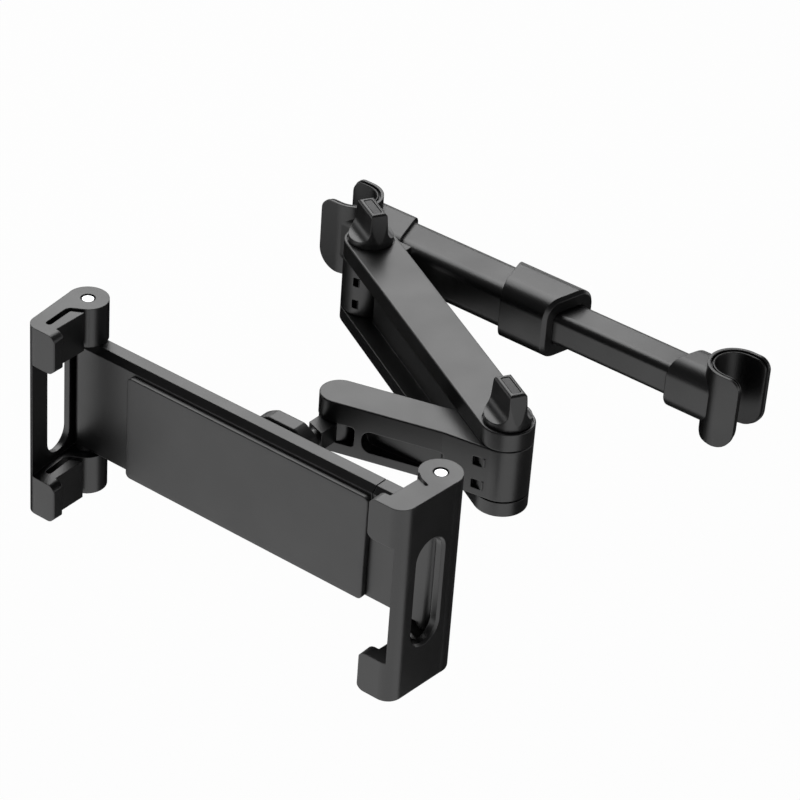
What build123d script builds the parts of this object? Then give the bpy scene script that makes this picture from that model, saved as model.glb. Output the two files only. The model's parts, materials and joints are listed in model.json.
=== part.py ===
from build123d import *
import os
from math import cos, radians, sin

# Headrest tablet mount, in millimetres.
# The origin is the axis of the left headrest post at half the height of the bar.
# X runs along the bar to the right post, Z is up and the tablet holder lies towards -Y.

# Fits
face_gap = 0.3  # between moulded faces that move past each other
bore_gap = 0.1  # round a stud or pin, on the radius
ball_gap = 0.06  # round the ball, on the radius
slide_gap = 0.2  # round a sliding bar or tongue

# Hooks on the headrest posts
post_spacing = 171.3
hook_inner_radius = 8.0
liner_lip = 0.8
liner_groove = 0.75
hook_shell = 1.15
hook_half_height = 14.75
hook_leg = 7.5
hook_top_corner = 4.5
hook_bottom_corner = 8.5
hook_back_corner = 5.5
liner_set_down = 0.3
liner_groove_depth = 1.3

# Outer tube, collar and inner bar, y by z
bar_depth = 14.5
bar_height = 12.8
bar_corner = 2.8
bar_wall = 1.8
bar_web = 4.0
tube_depth = 19.2
tube_height = 17.9
tube_corner = 4.3
tube_wall = 1.6
tube_end = 88.0
tube_seat_floor = 2.6
collar_side_wall = 2.0
collar_top_wall = 3.35
collar_corner = 7.0
collar_front_left = 77.0
collar_front_right = 97.0
collar_rear_left = 71.0
collar_rear_right = 102.6
collar_bevel = 1.2
bush_length = 5.0
guide_stop_gap = 0.5
guide_length = 6.0
guide_lip = 3.0
spring_seat = 100.0
bar_solid_end = 9.0

# End block on the left hook and socket of the right hook
block_side_wall = 0.9
block_top_wall = 1.55
block_corner = 4.2
block_front_end = 28.8
block_rear_end = 22.3
socket_front_end = 148.5
socket_rear_end = 154.5
socket_side_wall = 2.35
socket_top_wall = 4.1
socket_corner = 6.5
bar_seat_floor = 2.8
hook_screw_head_radius = 2.8
hook_screw_head_height = 1.6
hook_screw_radius = 1.5
hook_screw_length = 9.0
hook_screw_cover = 0.2

# Springs, as wire radius, coil radius and pitch
bar_spring_wire = 0.5
bar_spring_coil = 3.6
bar_spring_pitch = 7.5
pull_spring_wire = 0.3
pull_spring_coil = 1.15
pull_spring_pitch = 5.0

# Shoulder, elbow and wrist
shoulder_x = 27.0
shoulder_y = -25.4
upper_arm_length = 122.9
upper_arm_angle = -29.66
forearm_length = 60.65
forearm_angle = 195.84
knuckle_radius = 9.68
neck_half_width = 7.43
arm_top = 17.0
arm_bottom = -17.0
ear_top = 10.1
ear_bottom = -11.2
web_thickness = 5.0
web_to_shoulder = 12.5
web_to_elbow = 32.0
edge_round = 0.5
forearm_taper = 20.0

# Fork, pocket and notches of the forearm
fork_top = 1.5
fork_bottom = -6.5
fork_depth = 8.3
fork_mouth_end = 8.7
fork_mouth_corner = 1.5
tongue_root_radius = 7.2
pocket_start = 11.3
pocket_end = 43.1
pocket_top = 1.5
pocket_bottom = -7.0
pocket_depth = 5.5
pocket_corner = 3.6
notch_start = 52.4
notch_length = 4.6
notch_height = 3.5
notch_depth = 3.0
upper_notch_z = 3.15
lower_notch_z = -6.2
shoulder_notch_x = 0.4
shoulder_notch_length = 2.6
wrist_pin_radius = 2.0
wrist_pin_top = 6.5

# Wing knobs, studs, washers and nuts
counterbore_radius = 8.7
counterbore_depth = 0.8
washer_radius = 7.4
washer_thickness = 0.5
knob_radius = 8.3
knob_rim = 2.6
wing_top = 30.8
wing_length = 13.2
wing_thickness = 6.2
wing_waist = 7.0
wing_top_radius = 7.5
wing_round = 1.2
scoop_height = 4.2
cap_length = 9.6
cap_width = 2.9
cap_corner = 0.5
cap_gap = 0.25
cap_thickness = 1.0
cap_pocket = 1.2
stud_radius = 2.5
stud_head_flats = 6.0
stud_head_height = 3.0
stud_cover = 8.4
nut_flats = 8.0
nut_height = 4.0
nut_inset = 0.3

# Ball joint, measured along y from the ball's centre
ball_reach = 29.8
ball_radius = 8.0
ball_z = -2.6
neck_radius = 3.2
tongue_half_width = 3.8
tongue_left = 12.0
tongue_right = 14.6
liner_thickness = 1.4
liner_front = 4.2
liner_back = 7.0
cup_radius = 13.0
cup_mouth = 3.9
cup_slot = 1.4
cup_slot_depth = 9.0
cup_flange_radius = 14.6
cup_flange_thickness = 4.2
cup_bevel = 1.0
nut_lobe_radius = 16.2
nut_flat_radius = 15.3
nut_lobes = 6
clamp_nut_front = 3.4
clamp_nut_length = 6.4
clamp_nut_round = 0.8

# Tablet holder, measured from the line of the claw pins
holder_back_to_ball = 12.9
pin_to_back = 3.1
pin_to_front = 4.0
claw_pin_spacing = 151.5
plate_half_height = 22.7
plate_chamfer = 2.2
body_end = 52.2
pad_height = 41.3
pad_drop = 1.25
pad_thickness = 2.2
pad_corner = 2.0
pad_bevel = 0.4
front_wall = 1.6
cover_thickness = 2.0
cover_half_length = 47.0
cover_half_height = 18.5
cover_corner = 3.0
boss_wall = 2.3
boss_lip = 0.9
channel_half_height = 11.5
channel_end_wall = 10.0
stretch = 80.0
tongue_overlap = 10.0
pull_spring_z = 6.0
pull_spring_slot = 4.0
pull_spring_length = 70.0
screw_x = 42.0
screw_z = 15.0
screw_head_radius = 2.6
screw_head_height = 1.3
screw_radius = 1.25
screw_length = 5.6

# Claws, measured from their pins
barrel_radius = 7.4
claw_half_height = 38.35
claw_wall = 3.0
claw_corner = 3.0
window_front = 17.6
window_back = 5.0
window_half_height = 20.6
window_bevel = 0.8
claw_pin_radius = 2.1
pin_recess_radius = 2.6
pin_recess_depth = 1.0
pin_set_down = 0.3

# Plans of the two claws: how far inwards and how far forwards of the pin, then the corner's radius
left_claw_plan = (
    (-7.4, 0.0, 0.0),
    (-4.3, 26.6, 5.0),
    (9.0, 26.6, 0.5),
    (8.8, 21.9, 0.3),
    (5.6, 21.9, 0.3),
    (5.5, 8.8, 2.0),
    (5.0, 0.0, 0.0),
)
right_claw_plan = (
    (-7.4, -1.0, 0.0),
    (-5.4, 26.4, 5.5),
    (8.5, 26.4, 0.5),
    (8.3, 21.4, 0.3),
    (4.0, 21.2, 0.3),
    (2.9, 6.9, 0.0),
    (3.5, 0.0, 0.0),
)
left_slot_path = ((7.4, 5.2), (3.4, 7.9), (0.2, 9.8), (1.2, 20.6))
left_slot_width = 2.2
left_slot_bend = 2.0
right_slot_path = ((5.2, 5.6), (2.6, 7.6), (-0.8, 8.9))
right_slot_width = 1.2
right_slot_bend = 1.0

# Places worked out from the sizes above
collar_depth = tube_depth + 2 * collar_side_wall
collar_height = tube_height + 2 * collar_top_wall
block_depth = tube_depth + 2 * block_side_wall
block_height = tube_height + 2 * block_top_wall
socket_depth = bar_depth + 2 * socket_side_wall
socket_height = bar_height + 2 * socket_top_wall
hook_groove_radius = hook_inner_radius + liner_lip
hook_bore_radius = hook_groove_radius + liner_groove
hook_outer_radius = hook_bore_radius + hook_shell
tube_start = hook_outer_radius + tube_seat_floor
bush_start = tube_end
bush_end = bush_start + bush_length
guide_end = bush_start - guide_stop_gap
guide_start = guide_end - guide_length
bar_start = guide_end - guide_lip
bar_end = post_spacing - hook_outer_radius - bar_seat_floor
knuckle_top = ear_top - face_gap
knuckle_bottom = ear_bottom + face_gap
elbow_x = shoulder_x + upper_arm_length * cos(radians(upper_arm_angle))
elbow_y = shoulder_y + upper_arm_length * sin(radians(upper_arm_angle))
wrist_x = elbow_x + forearm_length * cos(radians(forearm_angle))
wrist_y = elbow_y + forearm_length * sin(radians(forearm_angle))
washer_bottom = arm_top - counterbore_depth
knob_bottom = washer_bottom + washer_thickness
stud_top = wing_top - stud_cover
ball_x = wrist_x
ball_y = wrist_y - ball_reach
liner_radius = ball_radius + ball_gap + liner_thickness
cup_cavity_radius = liner_radius + bore_gap
holder_back_y = ball_y - holder_back_to_ball
pin_y = holder_back_y - pin_to_back
plate_front_y = pin_y - pin_to_front
cover_front_y = holder_back_y - cover_thickness
channel_front_y = plate_front_y + front_wall
body_end_x = ball_x + body_end
left_pin_x = ball_x - claw_pin_spacing / 2
right_pin_x = ball_x + claw_pin_spacing / 2
slider_start = body_end_x + face_gap
tongue_start = slider_start - stretch - tongue_overlap
channel_start = left_pin_x + channel_end_wall
pull_spring_end = channel_start + pull_spring_length
cup_flange_front = cover_front_y + face_gap
cup_flange_back = cup_flange_front + cup_flange_thickness
boss_radius = cup_flange_radius + face_gap + boss_wall
claw_hook_bottom = plate_half_height + face_gap
relief_radius = pin_to_front + face_gap


def bar_section(depth, height, corner, start, end, mode=Mode.ADD):
    """A length of rounded bar along X."""
    with BuildSketch(Plane.YZ.offset(start)) as profile:
        RectangleRounded(depth, height, corner)
    extrude(profile.sketch, amount=end - start, mode=mode)


def disc(x, y, radius, bottom, top, mode=Mode.ADD):
    """An upright cylinder between two heights."""
    with BuildSketch(Plane.XY.offset(bottom)) as profile:
        with Locations((x, y)):
            Circle(radius)
    extrude(profile.sketch, amount=top - bottom, mode=mode)


def drum(x, z, radius, front, back, mode=Mode.ADD):
    """A cylinder along Y between its front and its back."""
    with BuildSketch(Plane.XZ.offset(-back)) as profile:
        with Locations((x, z)):
            Circle(radius)
    extrude(profile.sketch, amount=back - front, mode=mode)


def arm_plane(x, y, z, angle):
    """A level plane with its x axis along an arm."""
    return Plane(origin=(x, y, z), x_dir=(cos(radians(angle)), sin(radians(angle)), 0), z_dir=(0, 0, 1))


def hook_outline(x, facing, radius, leg):
    """The plan of a U hook about a post, open towards the side that it faces."""
    with Locations((x, 0)):
        Circle(radius)
    with Locations((x + facing * leg / 2, 0)):
        Rectangle(leg, 2 * radius)


def round_hook_ends(x, facing, leg, half_height):
    """Trim a hook to its side view, with rounded legs and a rounded back corner."""
    open_x = x + facing * leg
    back_x = x - facing * hook_outer_radius
    with BuildSketch(Plane.XZ.offset(-hook_outer_radius)) as side_view:
        with BuildLine():
            FilletPolyline(
                (open_x, -half_height),
                (back_x, -half_height),
                (back_x, half_height),
                (open_x, half_height),
                radius=(hook_bottom_corner, hook_back_corner, 0, hook_top_corner),
                close=True,
            )
        make_face()
    extrude(side_view.sketch, amount=2 * hook_outer_radius, mode=Mode.INTERSECT)


def hook_shell_outside(x, facing):
    """The outside of a U hook round a post."""
    with BuildSketch(Plane.XY.offset(-hook_half_height)) as profile:
        hook_outline(x, facing, hook_outer_radius, hook_leg)
    extrude(profile.sketch, amount=2 * hook_half_height)
    round_hook_ends(x, facing, hook_leg, hook_half_height)


def hook_bore(x, facing):
    """The U channel through a hook, which its liner fills."""
    with BuildSketch(Plane.XY.offset(-hook_half_height)) as profile:
        hook_outline(x, facing, hook_bore_radius, 2 * hook_leg)
    extrude(profile.sketch, amount=2 * hook_half_height, mode=Mode.SUBTRACT)


def make_hook_liner(x, facing, label):
    """The soft liner of a hook: a low outer band and a proud inner lip."""
    leg = hook_leg - liner_set_down
    lip_half_height = hook_half_height - liner_set_down
    band_half_height = hook_half_height - liner_groove_depth
    with BuildPart() as hook_liner:
        for radius, half_height in (
            (hook_bore_radius, band_half_height),
            (hook_groove_radius, lip_half_height),
        ):
            with BuildSketch(Plane.XY.offset(-half_height)):
                hook_outline(x, facing, radius, leg)
            extrude(amount=2 * half_height)
        with BuildSketch(Plane.XY.offset(-hook_half_height)):
            hook_outline(x, facing, hook_inner_radius, 2 * hook_leg)
        extrude(amount=2 * hook_half_height, mode=Mode.SUBTRACT)
        round_hook_ends(x, facing, leg, lip_half_height)
    finish(hook_liner, label)


def wedge_pocket(plane, start, end, bottom, top, depth, corner):
    """A pocket in a side face, deep at its start and running out at its end.

    The plane lies in the side face, with x along the face, y up and its normal outwards."""
    with BuildSketch(plane) as mouth:
        with Locations(((start + end) / 2, (bottom + top) / 2)):
            RectangleRounded(end - start, top - bottom, corner)
    extrude(mouth.sketch, amount=-depth, mode=Mode.SUBTRACT)
    floor = Plane(
        origin=plane.from_local_coords((0, bottom, 0)),
        x_dir=plane.x_dir,
        z_dir=plane.y_dir,
    )
    with BuildSketch(floor) as ramp:
        with BuildLine():
            Polyline((start, depth), (end, depth), (end, 0), close=True)
        make_face()
    extrude(ramp.sketch, amount=top - bottom)


def coil_along_x(x, y, z, length, coil, wire, pitch):
    """A round-wire coil along X."""
    with BuildLine() as turns:
        Helix(pitch=pitch, height=length, radius=coil, center=(x, y, z), direction=(1, 0, 0))
    with BuildSketch(Plane(origin=turns.line @ 0, z_dir=turns.line % 0)) as section:
        Circle(wire)
    sweep(section.sketch, path=turns.line, is_frenet=True)


def slant_end(front_end, rear_end, depth, height):
    """Trim the end of a bar section to a slant between its front and its rear."""
    with BuildSketch(Plane.XY.offset(-height / 2)) as waste:
        with BuildLine() as outline:
            Polyline(
                (rear_end, depth / 2),
                (front_end, depth / 2),
                (front_end, -depth / 2),
                close=True,
            )
        make_face(outline.edges())
    extrude(waste.sketch, amount=height, mode=Mode.SUBTRACT)


def finish(piece, label):
    """Name a finished piece and write it to its file."""
    piece.part.label = label
    export_step(piece.part, f"parts/{label}.step")


os.makedirs("parts", exist_ok=True)

# Left hook block: the U hook, the end of the bar and the shoulder knuckle in one moulding
with BuildPart() as left_hook_block:
    hook_shell_outside(0, -1)
    bar_section(block_depth, block_height, block_corner, 0, block_front_end)
    slant_end(block_front_end, block_rear_end, block_depth, block_height)
    with BuildSketch(Plane.XY.offset(knuckle_bottom)):
        with Locations((shoulder_x, shoulder_y)):
            Circle(knuckle_radius)
        with BuildLine():
            Polyline(
                (shoulder_x - neck_half_width, shoulder_y),
                (shoulder_x + neck_half_width, shoulder_y),
                (shoulder_x + neck_half_width, -tube_depth / 2),
                (shoulder_x - neck_half_width, -tube_depth / 2),
                close=True,
            )
        make_face()
    extrude(amount=knuckle_top - knuckle_bottom)
    bar_section(
        tube_depth,
        tube_height,
        tube_corner,
        tube_start,
        block_front_end + neck_half_width,
        Mode.SUBTRACT,
    )
    hook_bore(0, -1)
    disc(shoulder_x, shoulder_y, stud_radius + bore_gap, knuckle_bottom, knuckle_top, Mode.SUBTRACT)
    shoulder_face = Plane(
        origin=(shoulder_x, shoulder_y - knuckle_radius, 0), x_dir=(1, 0, 0), z_dir=(0, -1, 0)
    )
    for height in (upper_notch_z, lower_notch_z):
        wedge_pocket(
            shoulder_face,
            shoulder_notch_x,
            shoulder_notch_x + shoulder_notch_length,
            height - notch_height / 2,
            height + notch_height / 2,
            notch_depth,
            edge_round,
        )
finish(left_hook_block, "left_hook_block")

make_hook_liner(0, -1, "left_hook_liner")
make_hook_liner(post_spacing, 1, "right_hook_liner")

# Outer tube, seated in the block and in the collar
with BuildPart() as outer_tube:
    bar_section(tube_depth, tube_height, tube_corner, tube_start, tube_end)
    bar_section(
        tube_depth - 2 * tube_wall,
        tube_height - 2 * tube_wall,
        tube_corner - tube_wall,
        tube_start,
        tube_end,
        Mode.SUBTRACT,
    )
finish(outer_tube, "outer_tube")

# Collar on the mouth of the outer tube, slanted at both ends
with BuildPart() as tube_collar:
    bar_section(collar_depth, collar_height, collar_corner, collar_rear_left, collar_rear_right)
    with BuildSketch(Plane.XY.offset(-collar_height / 2)):
        with BuildLine():
            Polyline(
                (collar_front_left, -collar_depth / 2),
                (collar_front_right, -collar_depth / 2),
                (collar_rear_right, collar_depth / 2),
                (collar_rear_left, collar_depth / 2),
                close=True,
            )
        make_face()
    extrude(amount=collar_height, mode=Mode.INTERSECT)
    collar_ends = tube_collar.faces().sort_by(Axis.X)
    chamfer(collar_ends[-1].edges(), collar_bevel)
    bar_section(tube_depth, tube_height, tube_corner, collar_rear_left, bush_end, Mode.SUBTRACT)
    bar_section(
        bar_depth + 2 * face_gap,
        bar_height + 2 * face_gap,
        bar_corner + face_gap,
        bush_end,
        collar_rear_right,
        Mode.SUBTRACT,
    )
finish(tube_collar, "tube_collar")

# Bush in the collar, which guides the inner bar and stops its guide
with BuildPart() as collar_bush:
    bar_section(tube_depth, tube_height, tube_corner, bush_start, bush_end)
    bar_section(
        bar_depth + 2 * slide_gap,
        bar_height + 2 * slide_gap,
        bar_corner + slide_gap,
        bush_start,
        bush_end,
        Mode.SUBTRACT,
    )
finish(collar_bush, "collar_bush")

# Inner bar, hollow from both ends up to a web that the spring pushes on
with BuildPart() as inner_bar:
    bar_section(bar_depth, bar_height, bar_corner, bar_start, bar_end)
    for start, end in (
        (bar_start, spring_seat),
        (spring_seat + bar_web, bar_end - bar_solid_end),
    ):
        bar_section(
            bar_depth - 2 * bar_wall,
            bar_height - 2 * bar_wall,
            bar_corner - bar_wall,
            start,
            end,
            Mode.SUBTRACT,
        )
    with BuildSketch(Plane.YZ.offset(bar_end - bar_solid_end)):
        Circle(hook_screw_radius)
    extrude(amount=bar_solid_end, mode=Mode.SUBTRACT)
finish(inner_bar, "inner_bar")

# Guide on the inner end of the inner bar
with BuildPart() as bar_guide:
    bar_section(
        tube_depth - 2 * tube_wall - 2 * slide_gap,
        tube_height - 2 * tube_wall - 2 * slide_gap,
        tube_corner - tube_wall,
        guide_start,
        guide_end,
    )
    bar_section(bar_depth, bar_height, bar_corner, bar_start, guide_end, Mode.SUBTRACT)
    bar_section(
        bar_depth - 2 * bar_wall,
        bar_height - 2 * bar_wall,
        bar_corner - bar_wall,
        guide_start,
        bar_start,
        Mode.SUBTRACT,
    )
finish(bar_guide, "bar_guide")

# Spring that pushes the two hooks apart
with BuildPart() as bar_spring:
    coil_along_x(
        tube_start + bar_spring_wire,
        0,
        0,
        spring_seat - tube_start - 2 * bar_spring_wire,
        bar_spring_coil,
        bar_spring_wire,
        bar_spring_pitch,
    )
finish(bar_spring, "bar_spring")

# Right hook with the socket for the inner bar
hook_screw_end = post_spacing - hook_bore_radius - hook_screw_cover
hook_screw_shoulder = hook_screw_end - hook_screw_head_height
with BuildPart() as right_hook:
    hook_shell_outside(post_spacing, 1)
    bar_section(socket_depth, socket_height, socket_corner, socket_front_end, post_spacing)
    slant_end(socket_front_end, socket_rear_end, socket_depth, socket_height)
    hook_bore(post_spacing, 1)
    bar_section(bar_depth, bar_height, bar_corner, socket_front_end, bar_end, Mode.SUBTRACT)
    for radius, start in (
        (hook_screw_radius, bar_end),
        (hook_screw_head_radius, hook_screw_shoulder),
    ):
        with BuildSketch(Plane.YZ.offset(start)):
            Circle(radius)
        extrude(amount=post_spacing - start, mode=Mode.SUBTRACT)
finish(right_hook, "right_hook")

with BuildPart() as right_hook_screw:
    with BuildSketch(Plane.YZ.offset(hook_screw_shoulder)):
        Circle(hook_screw_head_radius)
    extrude(amount=hook_screw_head_height)
    with BuildSketch(Plane.YZ.offset(hook_screw_shoulder)):
        Circle(hook_screw_radius)
    extrude(amount=-hook_screw_length)
finish(right_hook_screw, "right_hook_screw")

# Upper arm: two flanges whose round ends are the ears of the joints, and a web between them
pivots = ((shoulder_x, shoulder_y), (elbow_x, elbow_y))
with BuildPart() as upper_arm:
    for bottom, top in ((arm_bottom, ear_bottom), (ear_top, arm_top)):
        with BuildSketch(arm_plane(shoulder_x, shoulder_y, bottom, upper_arm_angle)):
            with Locations((upper_arm_length / 2, 0)):
                SlotCenterToCenter(upper_arm_length, 2 * knuckle_radius)
        extrude(amount=top - bottom)
    with BuildSketch(arm_plane(shoulder_x, shoulder_y, ear_bottom, upper_arm_angle)):
        with BuildLine():
            Polyline(
                (web_to_shoulder, -web_thickness / 2),
                (upper_arm_length - web_to_elbow, -web_thickness / 2),
                (upper_arm_length - web_to_elbow, web_thickness / 2),
                (web_to_shoulder, web_thickness / 2),
                close=True,
            )
        make_face()
    extrude(amount=ear_top - ear_bottom)
    arm_faces = upper_arm.faces().sort_by(Axis.Z)
    fillet(arm_faces[-1].edges() + arm_faces[0].edges(), edge_round)
    for x, y in pivots:
        disc(x, y, stud_radius + bore_gap, arm_bottom, arm_top, Mode.SUBTRACT)
        disc(x, y, counterbore_radius, washer_bottom, arm_top, Mode.SUBTRACT)
        with BuildSketch(arm_plane(x, y, arm_bottom, upper_arm_angle)):
            RegularPolygon(nut_flats / 2 + bore_gap, 6, major_radius=False)
        extrude(amount=nut_inset + nut_height, mode=Mode.SUBTRACT)
finish(upper_arm, "upper_arm")

# Captive nuts under the arm, and washers under the knobs
with BuildPart() as pivot_nuts:
    for x, y in pivots:
        with BuildSketch(arm_plane(x, y, arm_bottom + nut_inset, upper_arm_angle)):
            RegularPolygon(nut_flats / 2, 6, major_radius=False)
            Circle(stud_radius + bore_gap, mode=Mode.SUBTRACT)
        extrude(amount=nut_height)
finish(pivot_nuts, "pivot_nuts")

with BuildPart() as knob_washers:
    for x, y in pivots:
        with BuildSketch(Plane.XY.offset(washer_bottom)):
            with Locations((x, y)):
                Circle(washer_radius)
                Circle(stud_radius + bore_gap, mode=Mode.SUBTRACT)
        extrude(amount=washer_thickness)
finish(knob_washers, "knob_washers")


def stud_shape(x, y, mode=Mode.ADD):
    """A threaded stud with a hexagon head that is moulded into its knob."""
    disc(x, y, stud_radius, arm_bottom + nut_inset, stud_top, mode)
    with BuildSketch(arm_plane(x, y, stud_top - stud_head_height, upper_arm_angle)) as head:
        RegularPolygon(stud_head_flats / 2, 6, major_radius=False)
    extrude(head.sketch, amount=stud_head_height, mode=mode)


def make_knob(x, y, name):
    """A wing knob with its stud and the flat insert in its top."""
    rim_top = knob_bottom + knob_rim
    arm_x, arm_y = cos(radians(upper_arm_angle)), sin(radians(upper_arm_angle))
    along_arm = Plane(origin=(x, y, 0), x_dir=(arm_x, arm_y, 0), z_dir=(arm_y, -arm_x, 0))
    across_arm = Plane(origin=(x, y, 0), x_dir=(-arm_y, arm_x, 0), z_dir=(arm_x, arm_y, 0))
    with BuildPart() as knob:
        with BuildSketch(along_arm):
            with BuildLine():
                Polyline(
                    (0, knob_bottom),
                    (knob_radius, knob_bottom),
                    (knob_radius, rim_top),
                    (wing_top_radius, wing_top),
                    (0, wing_top),
                    close=True,
                )
            make_face()
        revolve(axis=Axis((x, y, 0), (0, 0, 1)))
        with BuildSketch(along_arm):
            with BuildLine():
                Polyline(
                    (-knob_radius, knob_bottom),
                    (knob_radius, knob_bottom),
                    (knob_radius, rim_top),
                    (wing_length / 2, wing_top),
                    (-wing_length / 2, wing_top),
                    (-knob_radius, rim_top),
                    close=True,
                )
            make_face()
        extrude(amount=knob_radius, both=True, mode=Mode.INTERSECT)
        with BuildSketch(across_arm):
            with BuildLine():
                Line((0, wing_top), (wing_thickness / 2, wing_top))
                face = Line((wing_thickness / 2, wing_top), (wing_waist / 2, rim_top + scoop_height))
                scoop = TangentArc(face @ 1, (knob_radius, rim_top), tangent=face % 1)
                Polyline(scoop @ 1, (knob_radius, knob_bottom), (0, knob_bottom))
                mirror(about=Plane.YZ)
            make_face()
        extrude(amount=knob_radius, both=True, mode=Mode.INTERSECT)
        top_face = knob.faces().sort_by(Axis.Z)[-1]
        fillet(top_face.edges(), wing_round)
        with BuildSketch(arm_plane(x, y, wing_top - cap_pocket, upper_arm_angle)):
            RectangleRounded(cap_length + 2 * cap_gap, cap_width + 2 * cap_gap, cap_corner + cap_gap)
        extrude(amount=cap_pocket, mode=Mode.SUBTRACT)
        stud_shape(x, y, Mode.SUBTRACT)
    finish(knob, f"{name}_knob")
    with BuildPart() as cap:
        with BuildSketch(arm_plane(x, y, wing_top - cap_pocket, upper_arm_angle)):
            RectangleRounded(cap_length, cap_width, cap_corner)
        extrude(amount=cap_thickness)
    finish(cap, f"{name}_knob_cap")
    with BuildPart() as stud:
        stud_shape(x, y)
    finish(stud, f"{name}_stud")


make_knob(shoulder_x, shoulder_y, "shoulder")
make_knob(elbow_x, elbow_y, "elbow")

# Forearm, drawn from the wrist to the elbow, with its fork, side pocket and two notches
with BuildPart() as forearm:
    back_angle = forearm_angle + 180
    with BuildSketch(arm_plane(wrist_x, wrist_y, knuckle_bottom, back_angle)):
        Circle(neck_half_width)
        with Locations((forearm_length, 0)):
            Circle(knuckle_radius)
        with BuildLine():
            Polyline(
                (0, -neck_half_width),
                (forearm_length - forearm_taper, -neck_half_width),
                (forearm_length, -knuckle_radius),
                (forearm_length, knuckle_radius),
                (forearm_length - forearm_taper, neck_half_width),
                (0, neck_half_width),
                close=True,
            )
        make_face()
    extrude(amount=knuckle_top - knuckle_bottom)
    forearm_faces = forearm.faces().sort_by(Axis.Z)
    fillet(forearm_faces[-1].edges() + forearm_faces[0].edges(), edge_round)
    with BuildSketch(arm_plane(wrist_x, wrist_y, fork_bottom, back_angle)):
        Circle(fork_depth)
        with Locations((-fork_depth / 2, 0)):
            Rectangle(fork_depth, 2 * fork_depth)
    extrude(amount=fork_top - fork_bottom, mode=Mode.SUBTRACT)
    disc(wrist_x, wrist_y, wrist_pin_radius, knuckle_bottom, wrist_pin_top, Mode.SUBTRACT)
    disc(elbow_x, elbow_y, stud_radius + bore_gap, knuckle_bottom, knuckle_top, Mode.SUBTRACT)
    along = arm_plane(wrist_x, wrist_y, 0, back_angle)
    front_face = Plane(
        origin=along.from_local_coords((0, -neck_half_width, 0)),
        x_dir=along.x_dir,
        z_dir=-along.y_dir,
    )
    with BuildSketch(front_face):
        with Locations((fork_mouth_end / 2, (fork_bottom + fork_top) / 2)):
            RectangleRounded(fork_mouth_end, fork_top - fork_bottom, fork_mouth_corner)
    extrude(amount=-neck_half_width, mode=Mode.SUBTRACT)
    wedge_pocket(
        front_face, pocket_start, pocket_end, pocket_bottom, pocket_top, pocket_depth, pocket_corner
    )
    for height in (upper_notch_z, lower_notch_z):
        wedge_pocket(
            front_face.offset(knuckle_radius - neck_half_width),
            notch_start,
            notch_start + notch_length,
            height - notch_height / 2,
            height + notch_height / 2,
            notch_depth,
            edge_round,
        )
finish(forearm, "forearm")

with BuildPart() as wrist_pin:
    disc(wrist_x, wrist_y, wrist_pin_radius, knuckle_bottom, wrist_pin_top)
finish(wrist_pin, "wrist_pin")

# Ball arm: the tongue in the fork, a neck and the ball in one moulding
with BuildPart() as ball_arm:
    tongue_bottom = fork_bottom + face_gap
    tongue_top = fork_top - face_gap
    disc(wrist_x, wrist_y, tongue_root_radius, tongue_bottom, tongue_top)
    with BuildSketch(Plane.XY.offset(tongue_bottom)):
        with BuildLine():
            Polyline(
                (wrist_x - tongue_half_width, wrist_y),
                (wrist_x - tongue_half_width, wrist_y - tongue_left),
                (wrist_x + tongue_half_width, wrist_y - tongue_right),
                (wrist_x + tongue_half_width, wrist_y),
                close=True,
            )
        make_face()
    extrude(amount=tongue_top - tongue_bottom)
    drum(ball_x, ball_z, neck_radius, ball_y, wrist_y)
    with Locations((ball_x, ball_y, ball_z)):
        Sphere(ball_radius)
    disc(wrist_x, wrist_y, wrist_pin_radius + bore_gap, tongue_bottom, tongue_top, Mode.SUBTRACT)
finish(ball_arm, "ball_arm")

# Split liner round the ball
with BuildPart() as ball_liner:
    with Locations((ball_x, ball_y, ball_z)):
        Sphere(liner_radius)
    drum(ball_x, ball_z, liner_radius, ball_y + liner_front, ball_y + liner_radius, Mode.SUBTRACT)
    drum(ball_x, ball_z, liner_radius, ball_y - liner_radius, ball_y - liner_back, Mode.SUBTRACT)
    with Locations((ball_x, ball_y, ball_z)):
        Sphere(ball_radius + ball_gap, mode=Mode.SUBTRACT)
finish(ball_liner, "ball_liner")

# Slotted cup round the ball, with a flange that turns in the rear cover
with BuildPart() as ball_cup:
    drum(ball_x, ball_z, cup_radius, cup_flange_front, ball_y + cup_mouth)
    mouth = ball_cup.faces().sort_by(Axis.Y)[-1]
    chamfer(mouth.edges(), cup_bevel)
    drum(ball_x, ball_z, cup_flange_radius, cup_flange_front, cup_flange_back)
    with Locations((ball_x, ball_y, ball_z)):
        Sphere(cup_cavity_radius, mode=Mode.SUBTRACT)
    with BuildSketch(Plane.XZ.offset(-ball_y - cup_mouth)):
        with Locations((ball_x, ball_z)):
            Rectangle(cup_slot, 2 * cup_radius)
            Rectangle(2 * cup_radius, cup_slot)
    extrude(amount=cup_slot_depth, mode=Mode.SUBTRACT)
finish(ball_cup, "ball_cup")

# Clamp nut round the cup, with a grip flat at its top
with BuildPart() as clamp_nut:
    with BuildSketch(Plane.XZ.offset(-ball_y - clamp_nut_front)):
        with Locations((ball_x, ball_z)):
            Circle(nut_lobe_radius)
        for turn in range(nut_lobes):
            angle = radians(90 + 360 * turn / nut_lobes)
            middle = nut_flat_radius + nut_lobe_radius / 2
            with Locations(
                Location(
                    (ball_x + middle * cos(angle), ball_z + middle * sin(angle)),
                    90 + 360 * turn / nut_lobes,
                )
            ):
                Rectangle(nut_lobe_radius, nut_lobe_radius, mode=Mode.SUBTRACT)
    extrude(amount=clamp_nut_length)
    nut_faces = clamp_nut.faces().sort_by(Axis.Y)
    fillet(nut_faces[0].edges() + nut_faces[-1].edges(), clamp_nut_round)
    drum(
        ball_x,
        ball_z,
        cup_radius + bore_gap,
        ball_y + clamp_nut_front - clamp_nut_length,
        ball_y + clamp_nut_front,
        Mode.SUBTRACT,
    )
finish(clamp_nut, "clamp_nut")


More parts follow.
